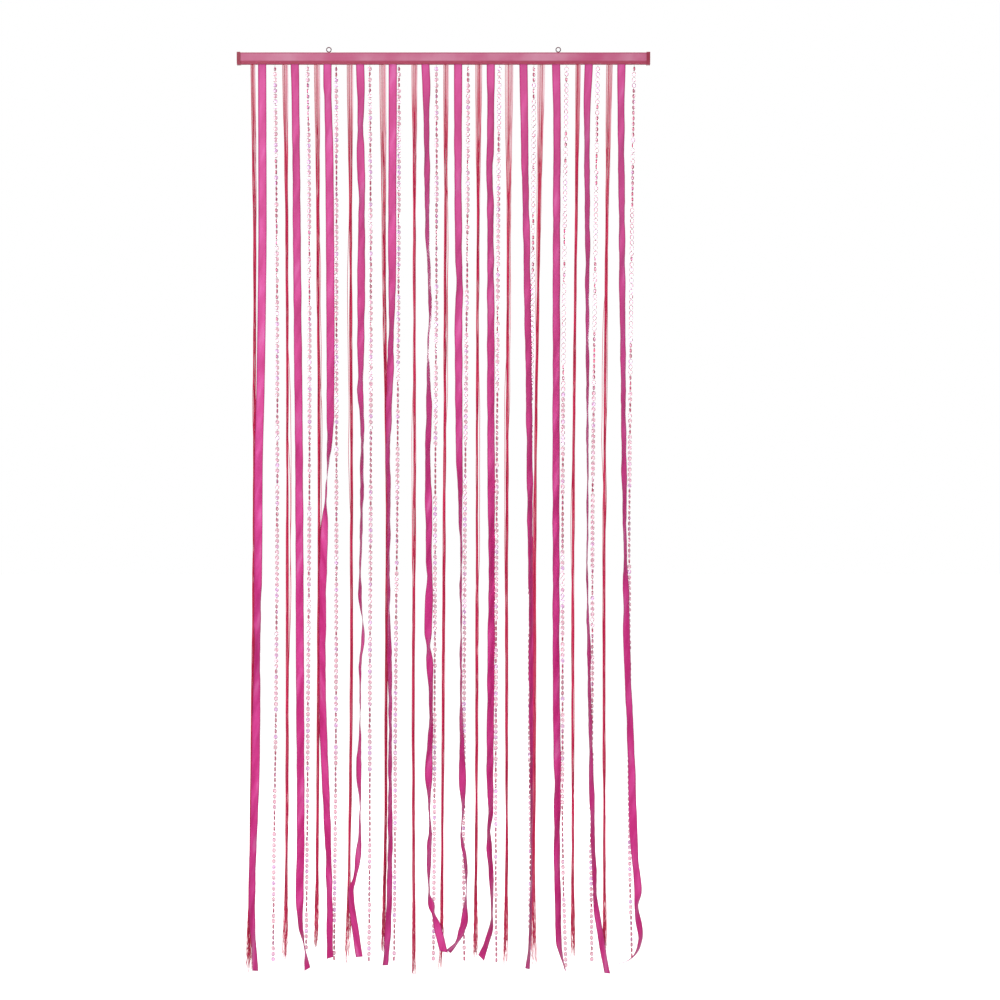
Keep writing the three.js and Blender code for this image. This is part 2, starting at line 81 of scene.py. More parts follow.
# Ribbons. depth: how far behind (+) or before (-) the slot the ribbon settles. cut: slant of its
# end. folds: drop below the rail, sideways shift from the root, turn about the ribbon's own
# length in degrees, and lean in depth where there is one.
RIBBONS = [
    (-5, 4, [
        (185, 1, 4), (405, 1, 2), (700, -3, 6), (863, -7, 4), (1060, -8, 18), (1168, -9, 35),
        (1277, -10, 54), (1408, -12, 24), (1539, -14, 15), (1713, -19, 39), (1822, -22, 44),
        (1890, -20, 58), (1975, -14, 50),
    ]),
    (-4, 8, [
        (40, 1, 22), (185, 3, 28), (405, 5, 25), (700, 8, 22), (950, 10, 25), (1408, 12, 15),
        (1539, 13, 30), (1713, 13, 20), (1800, 11, 20), (1866, 12, 55), (1899, 17, 75),
        (1931, 22, 108), (1972, 27, 138),
    ]),
    (-4, 6, [
        (46, 0, 10), (70, 1, 34), (185, 4, 14), (405, 6, 12), (680, 7, 22), (797, 6, 46),
        (863, 2, 76), (905, -1, 96), (950, -4, 110), (1027, -7, 160), (1168, -10, 150),
        (1408, -10, 150), (1539, -5, 160), (1735, 3, 140), (1947, 6, 147),
    ]),
    (-8, 1, [
        (35, 1, 8), (78, 2, 36), (144, 1, 50), (220, 2, 20), (300, 4, 46), (450, 3, 28),
        (620, 2, 38), (678, 2, 58), (711, 0, 45), (760, 4, 66), (950, 4, 71), (1090, 1, 82),
        (1158, 1, 68), (1234, 7, 108), (1321, 0, 112), (1408, 1, 97), (1550, -3, 132),
        (1600, 0, 108), (1670, 0, 106), (1713, -2, 134), (1770, -11, 118), (1800, -19, 128),
        (1850, -15, 150), (1944, -1, 148),
    ]),
    (-10, 1, [
        (185, 0, 18), (405, -1, 15), (500, -1, 36), (580, -3, 56), (656, -5, 39), (732, -7, 50),
        (863, -10, 60), (950, -8, 68), (1168, -9, 75), (1310, -6, 62), (1408, -5, 70),
        (1604, -5, 63), (1757, -6, 54), (1866, -9, 48), (1962, -16, 50),
    ]),
    (-8, 10, [
        (46, 2, 10), (98, 2, 45), (185, 3, 48), (384, 5, 66), (536, 11, 73), (602, 7, 83),
        (711, 7, 62), (754, 8, 44), (863, 5, 56), (950, 7, 36), (1081, 8, 45), (1114, 10, 55),
        (1168, 8, 22), (1234, 6, 25), (1267, 7, 66), (1299, 9, 40), (1408, 13, 68),
        (1474, 10, 50), (1550, 7, 34), (1598, 8, 73), (1670, 11, 70), (1703, 9, 55),
        (1807, 8, 78), (1833, 14, 42), (1849, 18, 70), (1877, 26, 33, -2), (1932, 40, 20, -4),
    ]),
    (-8, 2, [
        (185, 0, 28), (405, 1, 32), (470, 3, 46), (560, 1, 22), (860, 3, 42), (950, 5, 58),
        (1038, 6, 76), (1386, 7, 75), (1474, 8, 60), (1561, 10, 30), (1615, 10, 70),
        (1681, 7, 78), (1724, 15, 66), (1790, 18, 80), (1833, 16, 68), (1866, 14, 25),
        (1888, 8, 30, 4), (1910, 0, 54, 9), (1925, -11, 42, 14), (1936, -21, 30, 16),
    ]),
    (6, 8, [
        (36, 0, 12), (70, 0, 34), (185, -1, 30), (230, -3, 42), (296, -1, 42), (620, 0, 28),
        (950, 1, 30), (1081, 2, 42), (1278, 1, 30), (1539, -2, 36), (1626, 0, 52),
        (1674, -4, 66), (1713, -3, 44), (1790, 2, 60), (1855, 3, 76, -1), (1888, -1, 60, -4),
        (1920, -11, 45, -10), (1946, -21, 24, -14),
    ]),
    (2, 4, [
        (185, 3, 30), (405, 7, 35), (700, 12, 40), (950, 14, 48), (1168, 17, 52),
        (1408, 19, 39), (1539, 20, 54), (1692, 19, 67), (1850, 17, 66), (1920, 14, 66),
        (1972, 9, 60),
    ]),
    (3, 8, [
        (120, 2, 25), (405, 1, 25), (950, 0, 30), (1168, 0, 34), (1408, 1, 28), (1539, 3, 32),
        (1713, 2, 38), (1822, 4, 42), (1910, 6, 42), (1931, 9, 62), (1953, 14, 80),
        (1977, 21, 86),
    ]),
    (-6, 6, [
        (100, -4, 36), (405, -3, 55), (700, -3, 70), (950, -3, 78), (1168, -3, 76),
        (1256, 0, 65), (1408, 2, 65), (1539, 5, 58), (1604, 7, 51), (1713, 10, 57),
        (1822, 15, 54), (1888, 24, 42), (1931, 31, 49), (1980, 40, 42),
    ]),
    (-4, 0, [
        (80, -1, 30), (405, 1, 40), (700, 4, 50), (950, 6, 54), (1049, 8, 67), (1103, 9, 52),
        (1168, 10, 39), (1278, 12, 35), (1408, 17, 34), (1539, 22, 25), (1670, 26, 10),
        (1735, 30, 30), (1800, 36, 22), (1833, 33, 52), (1866, 37, 42), (1899, 42, 58),
        (1928, 36, 58), (1945, 25, 68), (1956, 8, 76), (1959, -8, 78),
    ]),
]

# Drops, in millimetres, at which a hanging strand's sideways shift is given below.
SHIFT_DROPS = (400, 950, 1400, 1700)

# Yarn bundles: root beside its ribbon, how far the cords fan out, the drop at which they have
# gathered, the five shifts, depth, length, how wide the end frays and how uneven its cords are.
YARNS = [
    (-20, 2.2, 520, (3, 2, -2, -6, -11), 8, 1986, 9, 90),
    (-21, 3.4, 300, (4, 5, 4, 3, -1), 0, 1955, 7, 60),
    (-23, 3.2, 420, (2, 4, 2, 0, -3), 8, 1931, 3, 30),
    (-22, 4.0, 380, (1, 3, 2, -2, -6), 7, 1968, 9, 80),
    (-22, 4.6, 460, (3, 9, 7, 5, 0), 5, 1940, 4, 60),
    (-24, 3.6, 260, (0, 0, -3, -2, -2), 0, 1988, 3, 60),
    (-26, 3.2, 320, (-2, -4, -7, -9, -11), 5, 1975, 5, 70),
    (-26, 4.6, 340, (-2, -4, -5, -6, -8), 5, 1952, 5, 50),
    (-31, 6.2, 420, (-2, -5, -6, -6, -9), 0, 1970, 4, 60),
    (-32, 5.2, 380, (-6, -14, -15, -17, -17), -11, 1964, 8, 60),
    (-23, 2.8, 300, (-5, -11, -12, -12, -12), 0, 1950, 5, 60),
    (-26, 4.0, 360, (-6, -11, -12, -11, -11), 7, 1946, 3, 40),
]

# The chance that a bead starts a new run, and that such a run stands on edge.
NEW_RUN, ON_EDGE = 0.42, 0.36

# Two tables, eight slanted facets round each, and eight on the girdle.
BEAD_FACES = 26

# Strings of beads: root beside its ribbon, the five shifts, depth, length.
BEADS = [
    (28, (4, 5, 2, -2, -4), 0, 1951),
    (28, (3, 3, 0, -2, -4), 10, 1927),
    (19, (0, 0, -1, -3, -5), 9, 1951),
    (21, (2, 2, 0, 0, -2), 0, 1951),
    (13.5, (-1, -4, -8, -9, -11), 7, 1951),
    (24, (0, -3, -4, -5, -7), 8, 1951),
    (22, (-2, -7, -9, -10, -9), 8, 1951),
    (19, (-3, -6, -8, -8, -7), -9, 1951),
    (23, (-2, -8, -9, -8, -9), 16, 1942),
    (23, (-5, -9, -9, -9, -2), -9, 1962),
    (20, (-5, -11, -12, -15, -13), 10, 1953),
    (28, (-5, -10, -10, -10, -5), 10, 1945),
]


# Small helpers.
def linear(code):
    """An sRGB hex colour as linear red, green, blue and alpha."""
    parts = [(code >> shift & 255) / 255 for shift in (16, 8, 0)]
    return tuple(p / 12.92 if p <= 0.04045 else ((p + 0.055) / 1.055) ** 2.4
                 for p in parts) + (1.0,)


def ease(value, low, high):
    """Smooth step from 0 at low to 1 at high."""
    t = min(max((value - low) / (high - low), 0.0), 1.0)
    return t * t * (3 - 2 * t)


def settled(depth, drop):
    """Depth that a hanging piece has at a drop: it leaves the slot and then hangs straight."""
    return depth * ease(drop, 0, SETTLE_DROP)


class SmoothLine:
    """A smooth curve through rows of x, y, z and turn, followed by its run."""

    def __init__(self, rows):
        self.rows = rows
        self.runs = [0.0]
        for before, after in zip(rows, rows[1:]):
            self.runs.append(self.runs[-1] + math.dist(before[:3], after[:3]))
        self.slopes = []
        last = len(rows) - 1
        for i in range(len(rows)):
            low, high = max(i - 1, 0), min(i + 1, last)
            run = self.runs[high] - self.runs[low]
            self.slopes.append([(b - a) / run for a, b in zip(rows[low], rows[high])])

    @property
    def length(self):
        return self.runs[-1]

    def at(self, run):
        i = 0
        while i < len(self.rows) - 2 and run > self.runs[i + 1]:
            i += 1
        span = self.runs[i + 1] - self.runs[i]
        t = min(max((run - self.runs[i]) / span, 0.0), 1.0)
        rise = t * t * (3 - 2 * t)
        start = t * (1 - t) * (1 - t) * span
        end = t * t * (1 - t) * span
        values = zip(self.rows[i], self.rows[i + 1], self.slopes[i], self.slopes[i + 1])
        return [a * (1 - rise) + b * rise + start * sa - end * sb for a, b, sa, sb in values]


class Wander:
    """A slow seeded wave, from -1 to 1, of a few wavelengths in millimetres."""

    def __init__(self, rng, wavelengths):
        self.waves = [(2 * math.pi / (length * rng.uniform(0.8, 1.25)), rng.uniform(0, 6.28))
                      for length in wavelengths]

    def at(self, run):
        total = sum(math.sin(run * rate + phase) for rate, phase in self.waves)
        return total / len(self.waves)


def hanging_line(root, shifts, depth, length):
    """Function from a drop to the place of a strand's middle, in millimetres."""
    knots = [(root, 0, -ROOT_START, 0), (root, 0, 0, 0)]
    drops = SHIFT_DROPS + (length,)
    knots += [(root + shift, 0, -drop, 0) for drop, shift in zip(drops, shifts)]
    line = SmoothLine(knots)

    def place(drop):
        x = line.at(drop - ROOT_START)[0]
        return Vector((x, settled(depth, drop), UNDERSIDE - drop))

    return place


def drops_between(start, end, spacing, least=1):
    """Drops from start to end, evenly spread and about a spacing apart."""
    rings = max(int((end - start) / spacing), least)
    return [start + (end - start) * ring / rings for ring in range(rings + 1)]


def deselect():
    """Goes back to object mode with nothing selected."""
    if bpy.context.object and bpy.context.object.mode != "OBJECT":
        bpy.ops.object.mode_set(mode="OBJECT")
    bpy.ops.object.select_all(action="DESELECT")


def activate(piece):
    deselect()
    piece.select_set(True)
    bpy.context.view_layer.objects.active = piece


def placed():
    """The primitive just added, with its place put into its mesh."""
    bpy.ops.object.transform_apply(location=True, rotation=True, scale=True)
    return bpy.context.active_object


def start_shaping(kind):
    """Opens the active piece in edit mode, to pick its faces or its edges."""
    bpy.ops.object.mode_set(mode="EDIT")
    bpy.ops.mesh.select_mode(type=kind)


def select(piece, kind, test):
    """Selects the faces or edges of a piece in edit mode that pass a test."""
    mesh = bmesh.from_edit_mesh(piece.data)
    for part in (*mesh.verts, *mesh.edges, *mesh.faces):
        part.select = False
    for part in getattr(mesh, kind):
        if test(part):
            part.select_set(True)
    bmesh.update_edit_mesh(piece.data)


def apply_modifier(piece, kind, **settings):
    activate(piece)
    modifier = piece.modifiers.new(kind.title(), kind)
    for name, value in settings.items():
        setattr(modifier, name, value)
    bpy.ops.object.modifier_apply(modifier=modifier.name)


def new_piece(name, points, faces):
    """A mesh object at the origin from points in millimetres."""
    mesh = bpy.data.meshes.new(name)
    mesh.from_pydata([(p[0] * MM, p[1] * MM, p[2] * MM) for p in points], [], faces)
    mesh.update()
    piece = bpy.data.objects.new(name, mesh)
    bpy.context.scene.collection.objects.link(piece)
    return piece


def corner_uv(piece, uv_of_point):
    """Gives each face corner the UV of its point."""
    layer = piece.data.uv_layers.new(name="UVMap")
    for loop in piece.data.loops:
        layer.data[loop.index].uv = uv_of_point[loop.vertex_index]


def point_values(piece, name, values):
    """A number for each point, for the materials to read."""
    attribute = piece.data.attributes.new(name, "FLOAT", "POINT")
    attribute.data.foreach_set("value", values)


def smooth(piece):
    piece.data.polygons.foreach_set("use_smooth", [True] * len(piece.data.polygons))


def mount(piece, node):
    """Hangs a finished piece on the frame in place of its solid."""
    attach(piece, "root")
    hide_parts(node)


# Materials: one function adds a node.
SMOOTH = {"interpolation_type": "SMOOTHSTEP"}


def add_node(tree, kind, inputs=(), **settings):
    """Adds a shader node with its settings. Its inputs come in order, or by number or name: a node
    is linked by its first live output, a socket is linked, and anything else is a value."""
    made = tree.nodes.new("ShaderNode" + kind)
    for name, value in settings.items():
        setattr(made, name, value)
    for name, value in inputs.items() if isinstance(inputs, dict) else enumerate(inputs):
        if isinstance(value, bpy.types.Node):
            value = next(socket for socket in value.outputs if socket.enabled)
        if isinstance(value, bpy.types.NodeSocket):
            tree.links.new(value, made.inputs[name])
        else:
            made.inputs[name].default_value = value
    return made


def start_material(name):
    """An empty material, and the function that adds its nodes."""
    material = bpy.data.materials.new(name)
    material.use_nodes = True
    material.node_tree.nodes.clear()
    return material, partial(add_node, material.node_tree)


def satin_ribbon(sizes, colours):
    """Woven polyester satin ribbon: silky threads along it give a soft pale gloss where it faces
    the light and a deep pink where it turns away, with fine ribs across and a corded dark edge.
    Its colour also holds painted shade and painted gloss in slanted clouds along its creases,
    painted light over its upper metre and painted shade towards its edges."""
    material, add = start_material("satin_ribbon_woven_polyester")
    half = sizes.ribbon_width / MM / 2
    uv = add("UVMap", uv_map="UVMap")
    across, along = add("SeparateXYZ", (uv,)).outputs[:2]
    # The real ribs are 0.55 mm apart. They are drawn at 1.1 mm so that they show in a close view.
    ribs = add("Math", (along, 2 * math.pi / 1.1), operation="MULTIPLY")
    ribs = add("Math", (ribs,), operation="SINE")
    # Warp threads, 0.75 mm apart.
    warp = add("Math", (across, 2 * math.pi / 0.75), operation="MULTIPLY")
    warp = add("Math", (warp,), operation="SINE")
    # Long clouds of 80 mm, slanted across the ribbon as its soft creases are. They are painted
    # shade of the creases, with painted gloss where they are brightest.
    slanted = add("Math", (across, 2.2, along), operation="MULTIPLY_ADD")
    creased = add("CombineXYZ", (add("Math", (across, 0.03), operation="MULTIPLY"),
                                 add("Math", (slanted, 0.0125), operation="MULTIPLY")))
    cloud = add("TexNoise", {0: creased, "Scale": 1.0, "Detail": 3.0})
    shade = add("MapRange", (cloud, 0.38, 0.6), **SMOOTH)
    shine = add("MapRange", (cloud, 0.56, 0.7, 0.0, 0.28), **SMOOTH)
    # The upper metre hangs in the light, and painted light makes it a little paler there.
    place = add("TexCoord").outputs["Object"]
    height = add("SeparateXYZ", (place,)).outputs[2]
    painted_top_light = add("MapRange", (height, -1.3, -0.1, 0.0, 0.22), **SMOOTH)
    rib_share = add("Math", (ribs, 0.05, 0.05), operation="MULTIPLY_ADD")
    # Slubs about 10 mm across the ribbon and 0.6 mm along it, where a weft thread is thicker.
    stretched = add("Mapping", {0: uv, 3: (0.1, 1.6, 1)})
    uneven = add("TexNoise", {0: stretched, "Scale": 1.0, "Detail": 2.0})
    slubs = add("MapRange", (uneven, 0.55, 0.8, 0.0, 0.16), **SMOOTH)
    # Painted shade of the cupped edges: the satin is painted deeper towards the corded edge.
    inwards = add("Math", (across, half), operation="SUBTRACT")
    off_middle = add("Math", (inwards,), operation="ABSOLUTE")
    painted_edge_shade = add("MapRange", (off_middle, half - 4.2, half - 1.2, 0.0, 0.75), **SMOOTH)
    # Pale dots of the weft show beside the cord, one in each rib.
    beside = add("MapRange", (off_middle, half - 1.5, half - 1.2), **SMOOTH)
    raised = add("Math", (ribs, 0.25), operation="GREATER_THAN")
    dots = add("Math", (beside, raised), operation="MULTIPLY")
    dots = add("Math", (dots, 0.3), operation="MULTIPLY")
    edge = add("MapRange", (off_middle, half - 1.05, half - 0.7), **SMOOTH)
    body = colours.ribbon_deep
    for share, laid_over in ((shade, colours.ribbon), (shine, colours.ribbon_gloss),
                             (painted_top_light, colours.ribbon_gloss), (rib_share, colours.selvedge),
                             (slubs, colours.ribbon_gloss), (painted_edge_shade, colours.ribbon_deep),
                             (dots, colours.ribbon_gloss), (edge, colours.selvedge)):
        body = add("Mix", {0: share, 6: body, 7: laid_over}, data_type="RGBA")
    fine = add("Math", (warp, 0.25), operation="MULTIPLY")
    weave = add("Math", (ribs, 0.6, fine), operation="MULTIPLY_ADD")
    corded = add("Math", (edge, 1.5, weave), operation="MULTIPLY_ADD")
    relief = add("Bump", {"Height": corded, "Strength": 0.25, "Distance": 0.08 * MM})
    gloss = add("MapRange", (cloud, 0.3, 0.7, 0.52, 0.44), **SMOOTH)
    tint = tuple(colours.gloss_tint)
    shader = add("BsdfPrincipled", {
        "Base Color": body, "Roughness": gloss, "Normal": relief, "IOR": 1.46,
        "Specular Tint": tint, "Sheen Weight": 0.03, "Sheen Roughness": 0.4, "Sheen Tint": tint})
    add("OutputMaterial", (shader,))
    return material


def knitted_cord(colours):
    """Knitted viscose chain cord: matt and slightly fuzzy, so its crimson stays deep, with painted
    pale highlights only on the crowns of its V stitches and painted shade in the gaps between
    them."""
    material, add = start_material("knitted_viscose_cord")
    uv = add("UVMap", uv_map="UVMap")
    around, along = add("SeparateXYZ", (uv,)).outputs[:2]
    # Stitches are 1.6 mm long, and slant to both sides of the cord's middle.
    part = add("Math", (around,), operation="FRACT")
    off_middle = add("Math", (part, 0.5), operation="SUBTRACT")
    slant = add("Math", (off_middle,), operation="ABSOLUTE")
    stitch = add("Math", (slant, 2.4, along), operation="MULTIPLY_ADD")
    stitch = add("Math", (stitch, 2 * math.pi / 1.6), operation="MULTIPLY")
    stitch = add("Math", (stitch,), operation="SINE")
    # Painted shade in the gaps between the stitches, and painted highlights on their crowns.
    painted_gap_shade = add("MapRange", (stitch, -1.0, 0.2, 0.3, 0.0), **SMOOTH)
    painted_crown_highlight = add("MapRange", (stitch, 0.5, 1.0, 0.0, 0.16), **SMOOTH)
    # Streaks of 50 mm, where the viscose has lost some of its dye.
    stretched = add("Mapping", {0: uv, 3: (0.8, 0.02, 1)})
    cloud = add("TexNoise", {0: stretched, "Scale": 1.0, "Detail": 3.0})
    streak = add("MapRange", (cloud, 0.52, 0.7, 0.0, 0.34), **SMOOTH)
    # The tone goes from deep at 0 to crimson at 1, and on to the pale viscose at 2. Where the
    # cords fan out, part of the tone above 1 is painted light.
    tone = add("Attribute", attribute_name="tone").outputs["Fac"]
    crimson = add("Math", (tone, 1.0), operation="MULTIPLY", use_clamp=True)
    pale_and_painted_fan_light = add("Math", (tone, 1.0), operation="SUBTRACT", use_clamp=True)
    pale = add("Math", (streak, pale_and_painted_fan_light), operation="ADD", use_clamp=True)
    body = colours.yarn_deep
    for share, laid_over in ((crimson, colours.yarn), (painted_gap_shade, colours.yarn_shadow),
                             (painted_crown_highlight, colours.yarn_pale), (pale, colours.yarn_pale)):
        body = add("Mix", {0: share, 6: body, 7: laid_over}, data_type="RGBA")
    relief = add("Bump", {"Height": stitch, "Strength": 0.5, "Distance": 0.15 * MM})
    shader = add("BsdfPrincipled", {
        "Base Color": body, "Roughness": 0.72, "Normal": relief, "IOR": 1.46,
        "Specular IOR Level": 0.3, "Sheen Weight": 0.05, "Sheen Roughness": 0.5,
        "Sheen Tint": tuple(colours.yarn_pale)})
    add("OutputMaterial", (shader,))
    return material


def pearly_acrylic(colours):
    """Clear pink moulded acrylic with a vapour-coated pearl lustre: pale lavender where a facet
    lies flat, painted shade of cherry pink along the slanted facets and edges, with hard small
    highlights."""
    material, add = start_material("pearly_pink_acrylic")
    tone = add("Attribute", attribute_name="tone").outputs["Fac"]
    rim = add("Attribute", attribute_name="rim").outputs["Fac"]
    place = add("TexCoord").outputs["Object"]
    # Bands of interference colour drift over about 5 mm.
    drift = add("TexNoise", {0: place, "Scale": 190.0, "Detail": 1.5, "Distortion": 0.8})
    peach = add("MapRange", (drift, 0.35, 0.65), **SMOOTH)
    # About one bead in five leans to lavender, by the tone that each bead has.
    lavender = add("MapRange", (tone, 0.7, 0.9), **SMOOTH)
    cool = add("MapRange", (drift, 0.6, 0.75, 0.0, 0.35), **SMOOTH)
    # Painted shade: the slanted facets and edges are painted a deeper cherry pink.
    painted_rim_shade = add("MapRange", (rim, 0.15, 0.95, 0.0, 0.92), **SMOOTH)
    body = colours.bead_rose
    for share, laid_over in ((peach, colours.bead_peach), (lavender, colours.bead_lavender),
                             (cool, colours.bead_cool), (painted_rim_shade, colours.bead_painted_rim_shade)):
        body = add("Mix", {0: share, 6: body, 7: laid_over}, data_type="RGBA")
    # Faint ripples of 2.4 mm from the mould.
    ripple = add("TexNoise", {0: place, "Scale": 420.0, "Detail": 1.0})
    relief = add("Bump", {"Height": ripple, "Strength": 0.08, "Distance": 0.3 * MM})
    shader = add("BsdfPrincipled", {
        "Base Color": body, "Roughness": 0.1, "Normal": relief, "IOR": 1.49,
        "Transmission Weight": 0.58, "Coat Weight": 0.3, "Coat Roughness": 0.05,
        "Coat Tint": tuple(colours.bead_lavender)})
    add("OutputMaterial", (shader,))
    return material


def waxed_thread(colours):
    """Waxed brown nylon thread: two plies twisted, with a painted dull shine on each ply and
    painted shade between them.
    """
    material, add = start_material("waxed_nylon_thread")
    around, along = add("SeparateXYZ", (add("UVMap", uv_map="UVMap"),)).outputs[:2]
    # One turn of the twist takes 1.4 mm, and two plies pass on the way round the thread.
    plies = add("Math", (around, 4 * math.pi), operation="MULTIPLY")
    twist = add("Math", (along, 2 * math.pi / 1.4, plies), operation="MULTIPLY_ADD")
    ply = add("Math", (twist,), operation="SINE")
    # Painted light on each ply and painted shade between the plies.
    painted_ply_light = add("MapRange", (ply, -1.0, 1.0), **SMOOTH)
    body = add("Mix", {0: painted_ply_light, 6: colours.thread_painted_shade, 7: colours.thread}, data_type="RGBA")
    relief = add("Bump", {"Height": ply, "Strength": 0.5, "Distance": 0.1 * MM})
    shader = add("BsdfPrincipled", {
        "Base Color": body, "Roughness": 0.5, "Normal": relief, "IOR": 1.53})
    add("OutputMaterial", (shader,))
    return material


def satin_plastic(name, colour, worn, grain, lip=None):
    """Extruded or moulded styrene: a satin skin, a little chalky, with faint marks. A lip colour
    paints shade on the rail's drawn lip below, which faces down, and on its thin edge above."""
    material, add = start_material(name)
    place = add("TexCoord").outputs["Object"]
    # On the rail these are the extruder's drawing lines, about 1 mm apart in depth and height.
    stretched = add("Mapping", {0: place, 3: grain})
    lines = add("TexNoise", {0: stretched, "Scale": 1.0, "Detail": 4.0})
    lined = add("MapRange", (lines, 0.5, 0.8, 0.0, 0.25), **SMOOTH)
    # Clouds of bloom, 140 mm long.
    cloud = add("TexNoise", {0: place, "Scale": 7.0, "Detail": 4.0})
    bloomed = add("MapRange", (cloud, 0.35, 0.7), **SMOOTH)
    # Moulded skin grain of 0.6 mm.
    skin = add("TexNoise", {0: place, "Scale": 1600.0, "Detail": 2.0})
    body = colour
    for share in (bloomed, lined):
        body = add("Mix", {0: share, 6: body, 7: worn}, data_type="RGBA")
    if lip:
        # Painted shade: a darker band on the lip below, which faces down, and a thin one on the
        # edge above.
        height = add("SeparateXYZ", (place,)).outputs[2]
        lip_top, lip_foot = (UNDERSIDE + 8.2) * MM, (UNDERSIDE + 5) * MM
        below = add("MapRange", (height, lip_top, lip_foot), **SMOOTH)
        above = add("MapRange", (height, -3.4 * MM, -1.2 * MM), **SMOOTH)
        painted_band_shade = add("Math", (below, above), operation="MAXIMUM")
        body = add("Mix", {0: painted_band_shade, 6: body, 7: lip}, data_type="RGBA")
    marks = add("Math", (skin, 0.4, lines), operation="MULTIPLY_ADD")
    relief = add("Bump", {"Height": marks, "Strength": 0.2, "Distance": 0.2 * MM})
    rough = add("MapRange", (cloud, 0.3, 0.7, 0.42, 0.58), **SMOOTH)
    shader = add("BsdfPrincipled", {
        "Base Color": body, "Roughness": rough, "Normal": relief, "IOR": 1.46})
    add("OutputMaterial", (shader,))
    return material


def plated_wire(colours):
    """Nickel-plated steel wire, old and dulled, with fine drawing marks and duller spots. Its dark
    maroon cast is a painted reflection of the pink around it."""
    material, add = start_material("nickel_plated_wire")
    place = add("TexCoord").outputs["Object"]
    # Drawing marks 0.3 mm apart, and spots of 2 mm.
    marks = add("TexNoise", {0: place, "Scale": 3300.0, "Detail": 2.0})
    spots = add("TexNoise", {0: place, "Scale": 500.0, "Detail": 3.0})
    dull = add("MapRange", (spots, 0.4, 0.7), **SMOOTH)
    # Painted reflection: the nickel is painted dark maroon like the pink around it, darker in the
    # dull spots.
    body = add("Mix", {0: dull, 6: colours.wire, 7: colours.wire_dull_and_reflection}, data_type="RGBA")
    rough = add("MapRange", (spots, 0.35, 0.7, 0.2, 0.42), **SMOOTH)
    relief = add("Bump", {"Height": marks, "Strength": 0.15, "Distance": 0.05 * MM})
    shader = add("BsdfPrincipled", {
        "Base Color": body, "Metallic": 1.0, "Roughness": rough, "Normal": relief})
    add("OutputMaterial", (shader,))
    return material


def studio_paper():
    """Matt white paper for the floor, with its faint tooth of 2 mm."""
    material, add = start_material("studio_paper_white")
    place = add("TexCoord").outputs["Object"]
    tooth = add("TexNoise", {0: place, "Scale": 500.0, "Detail": 2.0})
    body = add("Mix", {0: tooth, 6: linear(0xFAFAFA), 7: linear(0xFFFFFF)}, data_type="RGBA")
    shader = add("BsdfPrincipled", {"Base Color": body, "Roughness": 0.9, "IOR": 1.45})
    add("OutputMaterial", (shader,))
    return material


# Pieces.
def ribbon_line(group):
    """The middle line of a group's ribbon, with its turn in radians."""
    depth, cut, folds = RIBBONS[group]
    root = FIRST_RIBBON + group * GROUP_PITCH
    rows = [(ROOT_START, 0, 0), (2, 0, 0)] + folds
    places = []
    for drop, shift, turn, *lean in rows:
        y = settled(depth, drop) + (lean[0] if lean else 0)
        places.append((root + shift, y, UNDERSIDE - drop, math.radians(turn)))
    return SmoothLine(places), cut


def hang_ribbon(group, sizes, material):
    """One satin ribbon: a sheet swept down its folds, softly cupped, with its end cut."""
    rng = random.Random(RIBBON_SEED + group)
    line, cut = ribbon_line(group)
    width = sizes.ribbon_width / MM
    cells = 10
    rings = round(line.length / RIBBON_RINGS)
    # How much later a slanted crease comes on one edge than in the middle.
    lag = 22
    # Each ribbon is cut from its own stretch of the cloth.
    cut_from = 2600 * group
    cup = Wander(rng, (520, 230, 120))
    ripple = Wander(rng, (64, 41, 27))
    pucker = Wander(rng, (33, 19))
    sway = Wander(rng, (310, 170, 95))
    crease = Wander(rng, (120, 70))
    points, uvs, faces = [], [], []
    for ring in range(rings + 1):
        run = line.length * ring / rings
        before = Vector(line.at(max(run - 1, 0))[:3])
        after = Vector(line.at(min(run + 1, line.length))[:3])
        along = (after - before).normalized()
        here = line.at(run)
        flat = Vector((1, 0, 0)) - along * along.x
        free = ease(run, 15, 220)
        turn = here[3] + free * math.radians(8) * sway.at(run) * abs(math.cos(here[3]))
        wide = Matrix.Rotation(-turn, 3, along) @ flat.normalized()
        thick = wide.cross(along)
        cupped = free * (1.5 * cup.at(run) + 0.4 * ripple.at(run))
        fluted = free * 0.28 * pucker.at(run)
        slant = cut / 2 * ease(run, line.length - 60, line.length)
        for cell in range(cells + 1):
            w = 2 * cell / cells - 1
            proud = cupped * (w * w - 0.35) + fluted * math.sin(w * 3.4 + run / 31)
            proud += free * 0.9 * crease.at(run + lag * w)
            place = (Vector(here[:3]) + wide * (w * width / 2) + thick * proud
                     + along * (w * slant))
            points.append(place)
            uvs.append(((w + 1) * width / 2, run + cut_from))
    across = cells + 1
    for ring in range(rings):
        for cell in range(cells):
            a = ring * across + cell
            faces.append((a, a + across, a + across + 1, a + 1))
    name = f"satin_ribbon_{group + 1:02d}"
    piece = new_piece(name, points, faces)
    corner_uv(piece, uvs)
    smooth(piece)
    apply_modifier(piece, "SOLIDIFY", thickness=sizes.ribbon_thickness, offset=0.0)
    piece.data.materials.append(material)
    mount(piece, f"ribbon_{group + 1:02d}")


